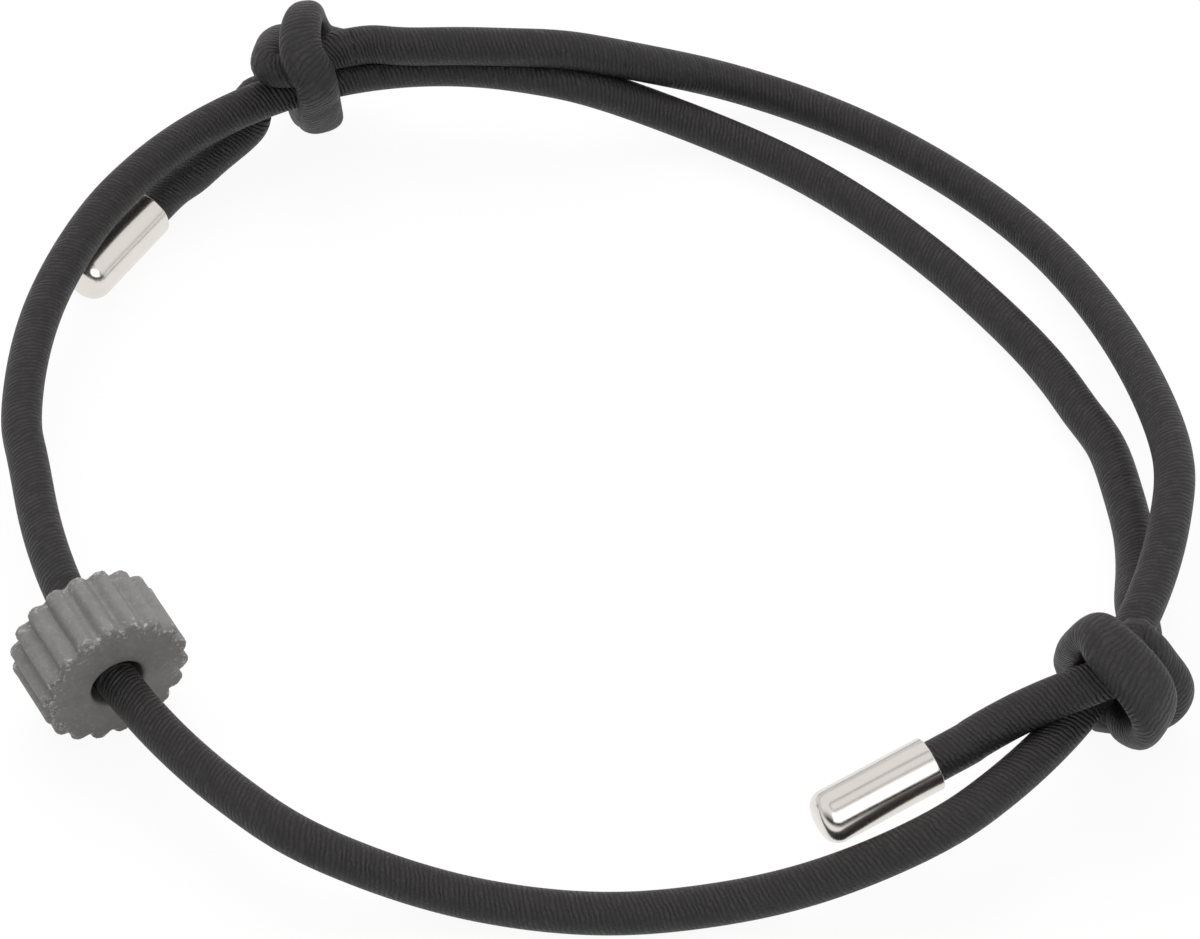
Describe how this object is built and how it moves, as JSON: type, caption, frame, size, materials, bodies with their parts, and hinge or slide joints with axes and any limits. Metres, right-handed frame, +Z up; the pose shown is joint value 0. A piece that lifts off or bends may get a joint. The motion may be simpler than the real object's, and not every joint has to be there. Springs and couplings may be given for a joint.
{
  "type": "wrist strap",
  "caption": "Elastic cord bracelet closed by two sliding knots, each tied round the other strand, with metal-capped tails and a fluted bead, lying flat.",
  "frame": {"origin": "on the bench, under the middle of the strap's bounding box", "axes": "+Z up from the bench; +Y from the bead-side strand towards the double strand behind; +X from the bead to the side where the two strands cross"},
  "size_m": [0.0727, 0.0697, 0.0114],
  "materials": {
    "cord_textile": "matt black-charcoal textile sleeve, thread spun round in a fine oblique pitch",
    "latex_strand": "matt natural latex strand inside the sleeve",
    "cap_metal": "bright nickel plate",
    "cap_glue": "dull cured adhesive",
    "bead_plastic": "matt grey moulded plastic, rib ends worn a little lighter"
  },
  "bodies": {
    "loop": {"outer_cord": "cord_textile", "outer_rubber": "latex_strand", "outer_cord_end": "cord_textile", "outer_rubber_end": "latex_strand", "inner_cord": "cord_textile", "inner_rubber": "latex_strand", "inner_cord_end": "cord_textile", "inner_rubber_end": "latex_strand", "knot_1_track_cord": "cord_textile", "knot_1_track_rubber": "latex_strand", "knot_2_track_cord": "cord_textile", "knot_2_track_rubber": "latex_strand", "left_cord": "cord_textile", "left_rubber": "latex_strand", "front_cord": "cord_textile", "front_rubber": "latex_strand", "bead_cord_left": "cord_textile", "bead_rubber_left": "latex_strand", "bead_cord_front": "cord_textile", "bead_rubber_front": "latex_strand"},
    "bead_seat": {"bead_cord": "cord_textile", "bead_rubber": "latex_strand"},
    "knot_1_body": {"knot_1": "cord_textile", "knot_1_rubber": "latex_strand"},
    "tail_1": {"tail_cord_1": "cord_textile", "tail_rubber_1": "latex_strand", "end_cap_1": "cap_metal", "cap_adhesive_1": "cap_glue"},
    "knot_2_body": {"knot_2": "cord_textile", "knot_2_rubber": "latex_strand"},
    "tail_2": {"tail_cord_2": "cord_textile", "tail_rubber_2": "latex_strand", "end_cap_2": "cap_metal", "cap_adhesive_2": "cap_glue"},
    "bead_body": {"bead": "bead_plastic"}
  },
  "joints": [
    {"name": "knot_1_slide", "type": "hinge", "parent": "loop", "child": "knot_1_body", "pos_m": [-0.0099, 0.0072, 0.00511], "axis": [0, 0, 1], "range_deg": [-22, 22], "deforming": ["outer_cord_end", "outer_rubber_end"]},
    {"name": "knot_2_slide", "type": "hinge", "parent": "loop", "child": "knot_2_body", "pos_m": [-0.003, 0.0003, 0.00554], "axis": [0, 0, 1], "range_deg": [-10, 13], "deforming": ["inner_cord_end", "inner_rubber_end"]},
    {"name": "tail_1_swing", "type": "hinge", "parent": "knot_1_body", "child": "tail_1", "pos_m": [-0.02184, 0.03024, 0.00362], "axis": [0, 0, 1], "range_deg": [0, 30], "deforming": ["tail_cord_1", "tail_rubber_1"]},
    {"name": "tail_2_swing", "type": "hinge", "parent": "knot_2_body", "child": "tail_2", "pos_m": [0.02926, -0.02217, 0.00788], "axis": [0, 0, 1], "range_deg": [-30, 0], "deforming": ["tail_cord_2", "tail_rubber_2"]},
    {"name": "bead_travel", "type": "hinge", "parent": "loop", "child": "bead_seat", "pos_m": [0.007, 0.0036, 0.0047], "axis": [0, 0, 1], "range_deg": [-14, 14], "deforming": ["bead_cord_left", "bead_rubber_left", "bead_cord_front", "bead_rubber_front"]},
    {"name": "bead_spin", "type": "hinge", "parent": "bead_seat", "child": "bead_body", "pos_m": [-0.02893, -0.01756, 0.0047], "axis": [0.5075, -0.8616, 0], "continuous": true}
  ]
}
